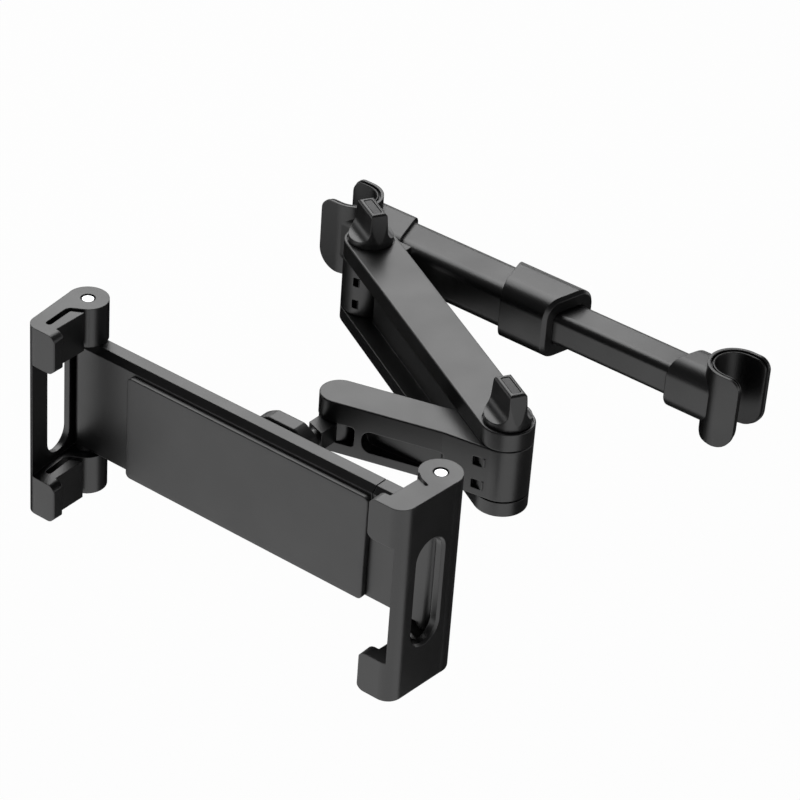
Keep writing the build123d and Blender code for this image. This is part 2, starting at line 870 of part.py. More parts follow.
def plate_section(start, end):
    """A length of the holder's plate, with bevels along its front edges."""
    with BuildSketch(Plane.YZ.offset(start)) as section:
        with BuildLine():
            Polyline(
                (plate_front_y, ball_z - plate_half_height + plate_chamfer),
                (plate_front_y + plate_chamfer, ball_z - plate_half_height),
                (holder_back_y, ball_z - plate_half_height),
                (holder_back_y, ball_z + plate_half_height),
                (plate_front_y + plate_chamfer, ball_z + plate_half_height),
                (plate_front_y, ball_z + plate_half_height - plate_chamfer),
                close=True,
            )
        make_face()
    extrude(section.sketch, amount=end - start)


def plate_knuckle(pin_x):
    """The hinge knuckle at an end of the plate, bored for its claw pin."""
    bottom = ball_z - plate_half_height
    top = ball_z + plate_half_height
    disc(pin_x, pin_y, pin_to_front, bottom, top)
    disc(pin_x, pin_y, claw_pin_radius + bore_gap, bottom, top, Mode.SUBTRACT)


def slab(length, height, corner, front, back, mode=Mode.ADD, drop=0):
    """A rounded slab across the middle of the plate, or a little lower."""
    with BuildSketch(Plane.XZ.offset(-back)) as outline:
        with Locations((ball_x, ball_z - drop)):
            RectangleRounded(length, height, corner)
    extrude(outline.sketch, amount=back - front, mode=mode)


def at_cover_screws(radius, front, back, mode):
    """Four round holes or shanks at the screws of the rear cover."""
    with BuildSketch(Plane.XZ.offset(-back)) as circles:
        with Locations((ball_x, ball_z)):
            with GridLocations(2 * screw_x, 2 * screw_z, 2, 2):
                Circle(radius)
    extrude(circles.sketch, amount=back - front, mode=mode)


# Holder body: the front moulding of the plate with the left knuckle and the slider's channel
with BuildPart() as holder_body:
    plate_section(left_pin_x, body_end_x)
    plate_knuckle(left_pin_x)
    slab(
        2 * cover_half_length,
        2 * cover_half_height,
        cover_corner,
        cover_front_y,
        holder_back_y,
        Mode.SUBTRACT,
    )
    with BuildSketch(Plane.YZ.offset(channel_start)):
        with Locations(((channel_front_y + cover_front_y) / 2, ball_z)):
            Rectangle(cover_front_y - channel_front_y, 2 * channel_half_height)
    extrude(amount=body_end_x - channel_start, mode=Mode.SUBTRACT)
    at_cover_screws(screw_radius, holder_back_y - screw_length, cover_front_y, Mode.SUBTRACT)
finish(holder_body, "holder_body")

# Soft pad on the front of the plate
with BuildPart() as front_pad:
    pad_front_y = plate_front_y - pad_thickness
    slab(2 * body_end, pad_height, pad_corner, pad_front_y, plate_front_y, drop=pad_drop)
    pad_front = front_pad.faces().sort_by(Axis.Y)[0]
    chamfer(pad_front.edges(), pad_bevel)
finish(front_pad, "front_pad")

# Rear cover with the boss that holds the flange of the ball cup
with BuildPart() as rear_cover:
    slab(2 * cover_half_length, 2 * cover_half_height, cover_corner, cover_front_y, holder_back_y)
    boss_back = cup_flange_back + face_gap + boss_lip
    drum(ball_x, ball_z, boss_radius, cover_front_y, boss_back)
    drum(
        ball_x,
        ball_z,
        cup_flange_radius + face_gap,
        cover_front_y,
        cup_flange_back + face_gap,
        Mode.SUBTRACT,
    )
    drum(ball_x, ball_z, cup_radius + face_gap, cover_front_y, boss_back, Mode.SUBTRACT)
    at_cover_screws(screw_radius, cover_front_y, holder_back_y, Mode.SUBTRACT)
    at_cover_screws(
        screw_head_radius, holder_back_y - screw_head_height, holder_back_y, Mode.SUBTRACT
    )
finish(rear_cover, "rear_cover")

with BuildPart() as cover_screws:
    at_cover_screws(screw_radius, holder_back_y - screw_length, holder_back_y, Mode.ADD)
    at_cover_screws(screw_head_radius, holder_back_y - screw_head_height, holder_back_y, Mode.ADD)
finish(cover_screws, "cover_screws")

# Right slider: the plate's right end, whose tongue runs in the holder body
with BuildPart() as right_slider:
    plate_section(slider_start, right_pin_x)
    plate_knuckle(right_pin_x)
    tongue_front_y = channel_front_y + slide_gap
    tongue_back_y = cover_front_y - slide_gap
    with BuildSketch(Plane.YZ.offset(tongue_start)):
        with Locations(((tongue_front_y + tongue_back_y) / 2, ball_z)):
            Rectangle(tongue_back_y - tongue_front_y, 2 * (channel_half_height - slide_gap))
    extrude(amount=slider_start - tongue_start)
    with BuildSketch(Plane.XZ.offset(-tongue_back_y)):
        with Locations(
            ((tongue_start + pull_spring_end) / 2, ball_z - pull_spring_z),
            ((tongue_start + pull_spring_end) / 2, ball_z + pull_spring_z),
        ):
            Rectangle(pull_spring_end - tongue_start, pull_spring_slot)
    extrude(amount=tongue_back_y - tongue_front_y, mode=Mode.SUBTRACT)
finish(right_slider, "right_slider")

# Two springs in the tongue's slots, which pull the slider in
with BuildPart() as holder_springs:
    for height in (ball_z - pull_spring_z, ball_z + pull_spring_z):
        coil_along_x(
            channel_start + 2 * pull_spring_wire,
            (channel_front_y + cover_front_y) / 2,
            height,
            pull_spring_length - 4 * pull_spring_wire,
            pull_spring_coil,
            pull_spring_wire,
            pull_spring_pitch,
        )
finish(holder_springs, "holder_springs")


def make_claw(name, pin_x, inward, plan, slot_path, slot_width, slot_bend):
    """A claw with an upper and a lower hook, joined by one outer wall with a window.

    The plan gives how far inwards and forwards of the pin each corner lies."""

    def spot(in_, forward):
        return (pin_x + inward * in_, pin_y - forward)

    def plan_face():
        with BuildLine() as outline:
            FilletPolyline(
                *[spot(in_, forward) for in_, forward, _ in plan],
                radius=[corner for _, _, corner in plan],
                close=True,
            )
        make_face(outline.edges())

    bottom = ball_z - claw_half_height
    top = ball_z + claw_half_height
    wall_bottom = ball_z - claw_hook_bottom
    wall_top = ball_z + claw_hook_bottom
    outer_back, outer_front, tip = plan[0], plan[1], plan[2]
    hook_height = claw_half_height - claw_hook_bottom
    hook_middle = (claw_half_height + claw_hook_bottom) / 2
    with BuildPart() as claw:
        for start in (bottom, wall_top):
            with BuildSketch(Plane.XY.offset(start)):
                plan_face()
            extrude(amount=hook_height)
        reach = tip[0] + barrel_radius + claw_corner
        with BuildSketch(Plane.XZ.offset(-pin_y - knuckle_radius)):
            for middle in (ball_z - hook_middle, ball_z + hook_middle):
                with Locations((pin_x + inward * (tip[0] - reach / 2), middle)):
                    RectangleRounded(reach, hook_height, claw_corner)
        extrude(amount=4 * knuckle_radius, mode=Mode.INTERSECT)
        for start in (bottom, wall_top):
            disc(pin_x, pin_y, barrel_radius, start, start + hook_height)
        with BuildSketch(Plane.XY.offset(wall_bottom)):
            plan_face()
            with Locations((pin_x, pin_y)):
                Circle(barrel_radius)
            with BuildLine():
                Polyline(
                    spot(outer_back[0] - barrel_radius, outer_back[1] - barrel_radius),
                    spot(outer_back[0] + claw_wall, outer_back[1] - barrel_radius),
                    spot(outer_back[0] + claw_wall, outer_back[1]),
                    spot(outer_front[0] + claw_wall, outer_front[1]),
                    spot(outer_front[0] - barrel_radius, outer_front[1]),
                    close=True,
                )
            make_face(mode=Mode.INTERSECT)
            with Locations((pin_x, pin_y)):
                Circle(relief_radius, mode=Mode.SUBTRACT)
        extrude(amount=wall_top - wall_bottom)
        with BuildSketch(Plane.YZ.offset(pin_x - inward * 2 * barrel_radius)):
            with Locations((pin_y - (window_front + window_back) / 2, ball_z)):
                SlotOverall(2 * window_half_height, window_front - window_back, rotation=90)
        extrude(amount=inward * 2 * barrel_radius, mode=Mode.SUBTRACT)
        outside = claw.faces().filter_by(GeomType.PLANE).filter_by(lambda f: len(f.inner_wires()) == 1)
        window_face = outside.sort_by(lambda f: -inward * f.center().X)[-1]
        chamfer(window_face.inner_wires()[0].edges(), window_bevel)
        for start in (bottom, wall_top):
            with BuildSketch(Plane.XY.offset(start)):
                with BuildLine():
                    path = FilletPolyline(*[spot(*point) for point in slot_path], radius=slot_bend)
                trace(path, line_width=slot_width)
                with Locations(spot(*slot_path[-1])):
                    Circle(slot_width / 2)
            extrude(amount=hook_height, mode=Mode.SUBTRACT)
        disc(pin_x, pin_y, claw_pin_radius, bottom, top, Mode.SUBTRACT)
        disc(pin_x, pin_y, pin_recess_radius, bottom, bottom + pin_recess_depth, Mode.SUBTRACT)
        disc(pin_x, pin_y, pin_recess_radius, top - pin_recess_depth, top, Mode.SUBTRACT)
    finish(claw, f"{name}_claw")
    with BuildPart() as claw_pin:
        disc(pin_x, pin_y, claw_pin_radius, bottom + pin_set_down, top - pin_set_down)
    finish(claw_pin, f"{name}_claw_pin")


make_claw(
    "left", left_pin_x, 1, left_claw_plan, left_slot_path, left_slot_width, left_slot_bend
)
make_claw(
    "right", right_pin_x, -1, right_claw_plan, right_slot_path, right_slot_width, right_slot_bend
)
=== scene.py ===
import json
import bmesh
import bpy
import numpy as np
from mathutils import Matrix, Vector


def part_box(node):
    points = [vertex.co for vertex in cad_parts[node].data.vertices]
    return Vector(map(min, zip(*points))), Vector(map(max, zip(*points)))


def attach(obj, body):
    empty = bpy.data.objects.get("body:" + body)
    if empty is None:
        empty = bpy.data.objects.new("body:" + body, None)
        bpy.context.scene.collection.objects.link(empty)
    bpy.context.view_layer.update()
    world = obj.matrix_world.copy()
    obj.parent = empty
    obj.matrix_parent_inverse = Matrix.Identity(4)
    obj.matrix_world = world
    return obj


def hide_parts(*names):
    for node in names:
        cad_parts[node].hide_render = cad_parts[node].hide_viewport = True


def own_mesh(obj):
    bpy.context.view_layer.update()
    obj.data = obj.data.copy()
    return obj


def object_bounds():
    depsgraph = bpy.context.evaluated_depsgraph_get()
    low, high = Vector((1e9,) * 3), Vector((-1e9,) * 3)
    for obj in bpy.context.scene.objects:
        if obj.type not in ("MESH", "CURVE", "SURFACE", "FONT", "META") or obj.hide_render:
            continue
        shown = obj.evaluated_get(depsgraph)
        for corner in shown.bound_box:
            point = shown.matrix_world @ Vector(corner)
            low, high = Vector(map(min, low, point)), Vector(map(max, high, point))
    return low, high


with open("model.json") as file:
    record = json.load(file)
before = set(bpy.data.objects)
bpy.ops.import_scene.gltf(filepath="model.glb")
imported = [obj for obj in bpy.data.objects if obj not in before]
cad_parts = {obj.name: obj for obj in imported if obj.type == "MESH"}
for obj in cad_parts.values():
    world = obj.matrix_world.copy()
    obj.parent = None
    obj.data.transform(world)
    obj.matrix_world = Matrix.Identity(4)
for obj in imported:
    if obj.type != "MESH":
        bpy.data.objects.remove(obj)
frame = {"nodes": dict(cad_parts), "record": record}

# %% [markdown]
# # Headrest tablet mount
# The solids of the mount are already here: each one stands at its own place and rides on its own body.
# This lesson dresses them. It sets the camera and the light, makes the finishes, and then works out the
# few pieces that are better as surfaces than as solids: three soft ones and a spring. First come the
# numbers that every cell uses.

mm = 0.001
cad_low, cad_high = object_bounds()
print("solids from", [round(v, 4) for v in cad_low], "to", [round(v, 4) for v in cad_high])

# %% [markdown]
# ## The camera
# A camera can be placed by eye, with a Track To constraint, or from its own directions. Here the yaw,
# pitch and roll are known, so the three directions of the camera are worked out and put straight into its
# matrix. A long lens keeps the far end of the bar almost as large as the near claw.

# %% Camera
sensor_mm = 36.0
focal_pixels = 3202
frame_pixels = 800
# Yaw, pitch and roll in degrees, then the place and the nearest seen distance in metres.
camera_turns = (-35.398, 33.644, 4.29)
camera_place = (0.62368, -0.83896, 0.61865)
nearest = 0.05


def camera_axes(yaw, pitch, roll):
    """Right, up and back of a camera that looks along +Y, turned by yaw, dipped by pitch, then rolled."""
    y, p, r = np.radians((yaw, pitch, roll))
    forward = np.array((np.cos(p) * np.sin(y), np.cos(p) * np.cos(y), -np.sin(p)))
    level = np.array((np.cos(y), -np.sin(y), 0.0))
    upright = np.cross(level, forward)
    right = np.cos(r) * level + np.sin(r) * upright
    up = np.cos(r) * upright - np.sin(r) * level
    return np.column_stack((right, up, -forward))


lens = bpy.data.cameras.new("studio_camera")
lens.sensor_width = sensor_mm
lens.lens = sensor_mm * focal_pixels / frame_pixels
lens.clip_start = nearest
camera = bpy.data.objects.new("studio_camera", lens)
bpy.context.scene.collection.objects.link(camera)
placing = np.eye(4)
placing[:3, :3] = camera_axes(*camera_turns)
placing[:3, 3] = camera_place
camera.matrix_world = placing.T.tolist()
bpy.context.scene.camera = camera
bpy.context.scene.view_settings.view_transform = "Standard"
print("lens", round(lens.lens, 1), "mm")

# %% [markdown]
# ## Nodes and colours
# Colours are written as a painter's hex value and turned to linear light once, here. One small function
# adds a node, sets it up and links it, so that each finish below reads like a recipe.

# %% Colour and node helpers
def linear(hex_colour):
    """Linear RGBA of an sRGB hex value: v / 12.92 up to 0.04045, else ((v + 0.055) / 1.055) ** 2.4."""
    v = np.array([int(hex_colour[i:i + 2], 16) for i in (0, 2, 4)]) / 255
    rgb = np.where(v <= 0.04045, v / 12.92, ((v + 0.055) / 1.055) ** 2.4)
    return (*rgb.tolist(), 1.0)


def add_node(tree, kind, inputs=None, **settings):
    """Add a node of a kind, with its settings, and fill or link its inputs by name or number."""
    node = tree.nodes.new(kind)
    for name, value in settings.items():
        setattr(node, name, value)
    for key, value in (inputs or {}).items():
        if isinstance(value, bpy.types.NodeSocket):
            tree.links.new(value, node.inputs[key])
        else:
            node.inputs[key].default_value = value
    return node


def new_material(name):
    """An empty material, its node tree and its output node."""
    material = bpy.data.materials.new(name)
    material.use_nodes = True
    material.node_tree.nodes.clear()
    return material, material.node_tree, add_node(material.node_tree, "ShaderNodeOutputMaterial")


def per_metre(size_mm):
    """How many features of that size in millimetres fit in a metre, which is a texture's scale."""
    return 1000.0 / size_mm


plain_white = (1.0, 1.0, 1.0, 1.0)
print("hex 808080 in linear light", [round(v, 4) for v in linear("808080")[:3]])

# %% [markdown]
# ## The floor
# The mount hangs in the air in front of plain white. The floor is pale paint and keeps a faint shadow:
# nearly all that the camera and the reflections see of it is plain white, and the rest is its own lit
# surface. A shadow catcher would need a transparent film and a second layer, so the mix is made in the
# floor's own paint.

# %% Floor
floor_height = -0.30
white_share = 0.97


def level_sheet(name, corners, height):
    """A flat sheet at a height, its corners given in turn, in metres."""
    mesh = bpy.data.meshes.new(name)
    mesh.from_pydata([(x, y, height) for x, y in corners], [], [tuple(range(len(corners)))])
    sheet = bpy.data.objects.new(name, mesh)
    bpy.context.scene.collection.objects.link(sheet)
    return sheet


floor = level_sheet("studio_floor", ((-7, -7), (7, -7), (7, 7), (-7, 7)), floor_height)
floor_paint, tree, output = new_material("pale_painted_floor")
ray = add_node(tree, "ShaderNodeLightPath")
seen = ray.outputs["Is Camera Ray"]
for other in ("Is Glossy Ray", "Is Transmission Ray"):
    either = add_node(tree, "ShaderNodeMath", {0: seen, 1: ray.outputs[other]}, operation="MAXIMUM")
    seen = either.outputs[0]
share = add_node(tree, "ShaderNodeMath", {0: seen, 1: white_share}, operation="MULTIPLY")
lit = add_node(tree, "ShaderNodeBsdfDiffuse", {"Color": linear("EEEEEC")})
white = add_node(tree, "ShaderNodeEmission", {"Color": plain_white, "Strength": 1.0})
both = add_node(tree, "ShaderNodeMixShader", {0: share.outputs[0], 1: lit.outputs[0], 2: white.outputs[0]})
tree.links.new(both.outputs[0], output.inputs["Surface"])
floor.data.materials.append(floor_paint)
print("floor at", floor_height, "m")

# %% [markdown]
# Photographers lay dark cloth under a dark object, so that its sides reflect black and keep their form.
# A black card lies under the mount here, and a grey one to the right of it, where the faces that look
# right find their reflection. Only reflections see the two cards: they cast no shadow and are hidden from
# the camera.

# %% Cards under the mount
card_height = -0.15
black_corners = ((-0.9, -0.24), (-0.15, -0.24), (-0.06, -0.16), (0.06, -0.10), (0.06, 0.9), (-0.9, 0.9))
grey_corners = ((0.06, -0.10), (0.9, -0.10), (0.9, 0.9), (0.06, 0.9))


def reflected_card(name, corners, colour):
    """A cloth card that only reflections see, lit by the same lamps as the rest."""
    card = level_sheet(name, corners, card_height)
    cloth, tree, output = new_material(name + "_cloth")
    weave = add_node(tree, "ShaderNodeBsdfDiffuse", {"Color": linear(colour)})
    tree.links.new(weave.outputs[0], output.inputs["Surface"])
    card.data.materials.append(cloth)
    card.visible_camera = False
    card.visible_diffuse = False
    card.visible_transmission = False
    card.visible_shadow = False


reflected_card("black_card", black_corners, "020202")
reflected_card("grey_card", grey_corners, "5C5C5C")
print("cards at", card_height, "m")

# %% [markdown]
# The surroundings are white round the horizon and dark overhead, as in a studio with a low white wall.
# Then the rounded edge between a top and a front reflects the dark and reads as a dark line. A picture of
# a real studio would do this as well, but a ramp on the height of the view direction needs no file.

# %% Surroundings
wall_top = 0.07
dark_from = 0.24
overhead = (0.05, 0.05, 0.05, 1.0)

world = bpy.data.worlds.new("studio_surroundings")
bpy.context.scene.world = world
world.use_nodes = True
tree = world.node_tree
tree.nodes.clear()
direction = add_node(tree, "ShaderNodeTexCoord")
parts = add_node(tree, "ShaderNodeSeparateXYZ", {0: direction.outputs["Generated"]})
height = add_node(
    tree,
    "ShaderNodeMapRange",
    {"Value": parts.outputs["Z"], "From Min": wall_top, "From Max": dark_from},
    interpolation_type="SMOOTHSTEP",
)
tone = add_node(
    tree,
    "ShaderNodeMix",
    {0: height.outputs[0], 6: plain_white, 7: overhead},
    data_type="RGBA",
)
glow = add_node(tree, "ShaderNodeBackground", {"Color": tone.outputs[2], "Strength": 1.0})
add_node(tree, "ShaderNodeOutputWorld", {"Surface": glow.outputs[0]})
print("white up to a rise of", wall_top, "and dark from", dark_from)

# %% [markdown]
# The key light is one large softbox, high up behind the mount's left end. The camera sees its reflection
# in every level face, which makes the tops mid grey while the plastic itself is nearly black. A second,
# weaker one lifts the near side. Both are area lights, because a large area gives the soft edge of a real
# softbox.

# %% Softboxes
def softbox(name, aim, direction, distance, size, radiance):
    """A square area light that faces a point. Its power is its radiance times pi times its area."""
    light = bpy.data.lights.new(name, "AREA")
    light.shape = "SQUARE"
    light.size = size
    light.energy = radiance * np.pi * size ** 2
    away = np.array(direction) / np.linalg.norm(direction)
    side = np.cross((0.0, 0.0, 1.0), away)
    side = side / np.linalg.norm(side)
    place = np.eye(4)
    place[:3, :3] = np.column_stack((side, np.cross(away, side), away))
    place[:3, 3] = np.array(aim) + distance * away
    lamp = bpy.data.objects.new(name, light)
    bpy.context.scene.collection.objects.link(lamp)
    lamp.matrix_world = place.T.tolist()
    lamp.visible_camera = False


middle = ((cad_low + cad_high) / 2)[:]
softbox("key_softbox", middle, direction=(-0.52, 0.45, 0.73), distance=1.3, size=1.16, radiance=2.75)
softbox("near_fill", middle, direction=(0.25, -0.9, 0.5), distance=2.0, size=0.6, radiance=1.2)
print("aimed at", [round(v, 3) for v in middle])

# %% [markdown]
# ## Moulded plastics
# Most of the mount is ABS, injection moulded in a spark-eroded tool. That gives a satin face with a very
# fine grain, small rounded edges, and edges that hands polish a little lighter. The rounding of the edges
# could be modelled, but a Bevel node that bends the normal near an edge costs no triangles and suits a
# solid that must not change. The real grain is about 0.1 mm and would vanish in the picture, so it is
# drawn 0.6 to 1.4 mm wide, as coarse as it needs to show, and only about 0.01 mm deep.

# %% Moulded plastic finishes
def moulded_plastic(name, colour, worn, roughness, grain_mm, grain_depth_mm, edge_mm, specular=0.5):
    """Satin moulded plastic: fine grain in the bump, cloudy roughness and worn, rounded edges."""
    cloud_mm = 18.0
    roughness_spread = 0.03
    flat_enough, fully_worn = 0.98, 0.80
    material, tree, output = new_material(name)
    place = add_node(tree, "ShaderNodeTexCoord").outputs["Object"]
    fine = {"Vector": place, "Scale": per_metre(grain_mm), "Detail": 3.0}
    grain = add_node(tree, "ShaderNodeTexNoise", fine)
    broad = {"Vector": place, "Scale": per_metre(cloud_mm), "Detail": 2.0}
    cloud = add_node(tree, "ShaderNodeTexNoise", broad)
    edge = add_node(tree, "ShaderNodeBevel", {"Radius": edge_mm * mm}, samples=6)
    true = add_node(tree, "ShaderNodeNewGeometry")
    bends = {0: edge.outputs[0], 1: true.outputs["Normal"]}
    flat = add_node(tree, "ShaderNodeVectorMath", bends, operation="DOT_PRODUCT")
    wear = add_node(
        tree,
        "ShaderNodeMapRange",
        {"Value": flat.outputs["Value"], "From Min": flat_enough, "From Max": fully_worn},
    )
    rubs = {0: wear.outputs[0], 1: cloud.outputs[0]}
    patchy = add_node(tree, "ShaderNodeMath", rubs, operation="MULTIPLY")
    colours = {0: patchy.outputs[0], 6: linear(colour), 7: linear(worn)}
    tint = add_node(tree, "ShaderNodeMix", colours, data_type="RGBA")
    rough = add_node(
        tree,
        "ShaderNodeMapRange",
        {
            "Value": cloud.outputs[0],
            "From Min": 0.3,
            "From Max": 0.7,
            "To Min": roughness - roughness_spread,
            "To Max": roughness + roughness_spread,
        },
    )
    relief = add_node(
        tree,
        "ShaderNodeBump",
        {
            "Height": grain.outputs[0],
            "Distance": grain_depth_mm * mm,
            "Strength": 0.5,
            "Normal": edge.outputs[0],
        },
    )
    skin = add_node(
        tree,
        "ShaderNodeBsdfPrincipled",
        {
            "Base Color": tint.outputs[2],
            "Roughness": rough.outputs[0],
            "Normal": relief.outputs[0],
            "IOR": 1.52,
            "Specular IOR Level": specular,
        },
    )
    tree.links.new(skin.outputs[0], output.inputs["Surface"])
    return material


# ABS from a spark-eroded tool: nearly black and satin, so its level faces mirror the softbox as grey.
abs_black = moulded_plastic(
    "abs_spark_eroded_black",
    "111112",
    "3A3A3C",
    roughness=0.36,
    grain_mm=0.8,
    grain_depth_mm=0.01,
    edge_mm=0.45,
    specular=0.82,
)
# Elastomer moulded over the hooks: a touch darker and smoother, so its round lips catch the light.
tpe_liner = moulded_plastic(
    "tpe_moulded_liner",
    "101011",
    "242425",
    roughness=0.34,
    grain_mm=1.4,
    grain_depth_mm=0.008,
    edge_mm=0.3,
)
# Silicone from a blasted tool: paler and duller than the plastic, which sets the pad off from the plate.
silicone_pad = moulded_plastic(
    "silicone_moulded_pad",
    "202021",
    "303031",
    roughness=0.44,
    grain_mm=0.6,
    grain_depth_mm=0.012,
    edge_mm=0.35,
    specular=0.85,
)
# Acetal for what slides inside: self-coloured dark grey and waxy, from a polished tool.
acetal_inner = moulded_plastic(
    "acetal_moulded_grey",
    "2B2B2D",
    "4A4A4C",
    roughness=0.40,
    grain_mm=1.2,
    grain_depth_mm=0.006,
    edge_mm=0.25,
)
# The inserts in the knobs: a paler ABS with small, crisp edges.
abs_insert = moulded_plastic(
    "abs_moulded_insert",
    "2A2A2C",
    "4C4C4E",
    roughness=0.42,
    grain_mm=0.7,
    grain_depth_mm=0.01,
    edge_mm=0.15,
)
print("plastics", [m.name for m in (abs_black, tpe_liner, silicone_pad, acetal_inner, abs_insert)])

# %% [markdown]
# ## Steel
# Pins, studs, nuts and screws are steel. Turned and drawn steel carries fine lines from its tool, and zinc
# plating blurs them. The lines are a noise that is drawn out in one direction, 0.15 to 0.3 mm apart. An
# image of brushed metal would need a file and a seam; noise in the object's own space needs neither.

# %% Steel finishes
def worked_steel(name, colour, roughness, line_mm, stretch):
    """Steel with fine tool lines: noise stretched by a factor in each direction drives roughness and bump."""
    roughness_spread = 0.08
    line_depth_mm = 0.004
    edge_mm = 0.2
    material, tree, output = new_material(name)
    place = add_node(tree, "ShaderNodeTexCoord").outputs["Object"]
    pulled = add_node(tree, "ShaderNodeMapping", {"Vector": place, "Scale": stretch})
    fine = {"Vector": pulled.outputs[0], "Scale": per_metre(line_mm), "Detail": 2.0}
    lines = add_node(tree, "ShaderNodeTexNoise", fine)
    rough = add_node(
        tree,
        "ShaderNodeMapRange",
        {
            "Value": lines.outputs[0],
            "To Min": roughness - roughness_spread,
            "To Max": roughness + roughness_spread,
        },
    )
    edge = add_node(tree, "ShaderNodeBevel", {"Radius": edge_mm * mm}, samples=4)
    relief = add_node(
        tree,
        "ShaderNodeBump",
        {
            "Height": lines.outputs[0],
            "Distance": line_depth_mm * mm,
            "Strength": 0.4,
            "Normal": edge.outputs[0],
        },
    )
    skin = add_node(
        tree,
        "ShaderNodeBsdfPrincipled",
        {
            "Base Color": linear(colour),
            "Roughness": rough.outputs[0],
            "Normal": relief.outputs[0],
            "Metallic": 1.0,
        },
    )
    tree.links.new(skin.outputs[0], output.inputs["Surface"])
    return material


# Zinc-plated screws, studs and nuts: pale and slightly blurred by the plating.
zinc_steel = worked_steel(
    "steel_zinc_plated",
    "B4B6B8",
    roughness=0.32,
    line_mm=0.3,
    stretch=(1.0, 1.0, 0.3),
)
# Drawn spring wire: darker, with long lines.
spring_steel = worked_steel(
    "steel_drawn_wire",
    "8C8C8E",
    roughness=0.28,
    line_mm=0.2,
    stretch=(0.2, 1.0, 1.0),
)
# Ground pins: the brightest and the smoothest, so their ends show white from above.
bright_steel = worked_steel(
    "steel_ground_bright",
    "DADBDC",
    roughness=0.24,
    line_mm=0.15,
    stretch=(1.0, 1.0, 0.2),
)
print("steels", [m.name for m in (zinc_steel, spring_steel, bright_steel)])

# %% [markdown]
# Each solid names a material slot in its record, so one table from slot to finish dresses them all.
# Setting each solid by hand would work too, but a table can't miss one.

# %% Finishes on the solids
finish_of_slot = {
    "black_plastic": abs_black,
    "soft_liner": tpe_liner,
    "pad_rubber": silicone_pad,
    "inner_plastic": acetal_inner,
    "grey_insert": abs_insert,
    "zinc_steel": zinc_steel,
    "spring_steel": spring_steel,
    "bright_steel": bright_steel,
}
for part in frame["record"]["subparts"]:
    solid = frame["nodes"][part["node"]]
    solid.data.materials.clear()
    solid.data.materials.append(finish_of_slot[part["material_slot"]])
print("dressed", len(frame["nodes"]), "solids")

# %% [markdown]
# ## The soft pieces
# Three pieces are soft: the silicone pad on the plate, and the elastomer liner in each hook. Their solids
# are plain, with square steps. A moulded soft part has full round edges, because the tool is cut that way
# to let it out and a sharp lip would tear. Each one is worked out here as a surface on a grid and takes
# its solid's place.

# %% A surface from a grid of points
crease_degrees = 40.0


def surface_from_grid(name, points, body, material_slot, stands_for):
    """A closed piece from rows of points: rows follow each other, each row is a closed ring.

    Quad (i, j) joins ring i to ring i + 1 and point j to point j + 1 round the ring. The first and the last
    ring are closed with one face each.
    """
    rings, around = points.shape[:2]
    i, j = np.meshgrid(np.arange(rings - 1), np.arange(around), indexing="ij")
    after = (j + 1) % around
    this_ring, next_ring = i * around, (i + 1) * around
    quads = np.stack((this_ring + j, this_ring + after, next_ring + after, next_ring + j), -1)
    ends = [list(range(around))[::-1], list(range((rings - 1) * around, rings * around))]
    mesh = bpy.data.meshes.new(name)
    mesh.from_pydata(points.reshape(-1, 3).tolist(), [], quads.reshape(-1, 4).tolist() + ends)
    mesh.validate()
    work = bmesh.new()
    work.from_mesh(mesh)
    bmesh.ops.recalc_face_normals(work, faces=work.faces)
    work.to_mesh(mesh)
    work.free()
    mesh.shade_smooth()
    mesh.set_sharp_from_angle(angle=np.radians(crease_degrees))
    piece = bpy.data.objects.new(name, mesh)
    bpy.context.scene.collection.objects.link(piece)
    piece.data.materials.append(finish_of_slot[material_slot])
    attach(piece, body)
    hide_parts(stands_for)
    print(name, len(mesh.vertices), "points,", len(mesh.polygons), "faces")
    return piece


# %% [markdown]
# The pad is a sheet of silicone about 2 mm thick. Its rim is a quarter round, and its face swells by a few
# hundredths of a millimetre, as a moulded sheet does where it cools last. A Bevel modifier on a box would
# round the rim as well, but rings that shrink towards the middle let the face swell too.

# %% Silicone pad
pad_corner = 2.0 * mm
least_corner = 0.2 * mm
pad_rim = 0.5 * mm
pad_swell = 0.04 * mm


def rounded_rectangles(half_width, half_height, corner, steps=12):
    """Rings of (x, z) round rectangles with quarter-circle corners, one ring for each row of the sizes.

    The first corner is (cos a, sin a) * corner + (half_width - corner, half_height - corner) for a from 0
    to 90 degrees, and the other three are its mirror images, each taken so that the ring runs on.
    """
    turn = np.linspace(0.0, np.pi / 2, steps)
    quarter = np.stack((np.cos(turn), np.sin(turn)), -1) * corner[:, None, None]
    bend = np.stack((half_width - corner, half_height - corner), -1)[:, None]
    first = quarter + bend
    second = quarter[:, ::-1] * (-1, 1) + bend * (-1, 1)
    return np.concatenate((first, second, -first, -second), axis=1)


def pad_points(low, high, rim, swell, rim_steps=7):
    """Rings from the back to the front: up the side, round the rim, then in over the face.

    On the rim a ring lies inset by rim * (1 - cos a) and forward by rim * sin a. On the face a ring at
    share t of the way to the middle is lifted by swell * sin(pi * t / 2).
    """
    centre = (low + high) / 2
    half = (high - low) / 2
    turn = np.linspace(0.0, np.pi / 2, rim_steps)
    inwards = np.array((0.1, 0.3, 0.6, 0.98))
    inset = np.concatenate(([0.0], rim * (1 - np.cos(turn)), rim + (half[2] - rim) * inwards))
    share = np.concatenate((np.zeros(1 + rim_steps), inwards))
    front = low[1] + rim + swell
    forward = np.concatenate(([high[1]], front - rim * np.sin(turn), np.full(len(inwards), front - rim)))
    forward = forward - swell * np.sin(np.pi * share / 2)
    corners = np.maximum(pad_corner - inset, least_corner)
    loops = rounded_rectangles(half[0] - inset, half[2] - inset, corners)
    depth = np.broadcast_to(forward[:, None], loops.shape[:2])
    return np.stack((loops[..., 0] + centre[0], depth, loops[..., 1] + centre[2]), -1)


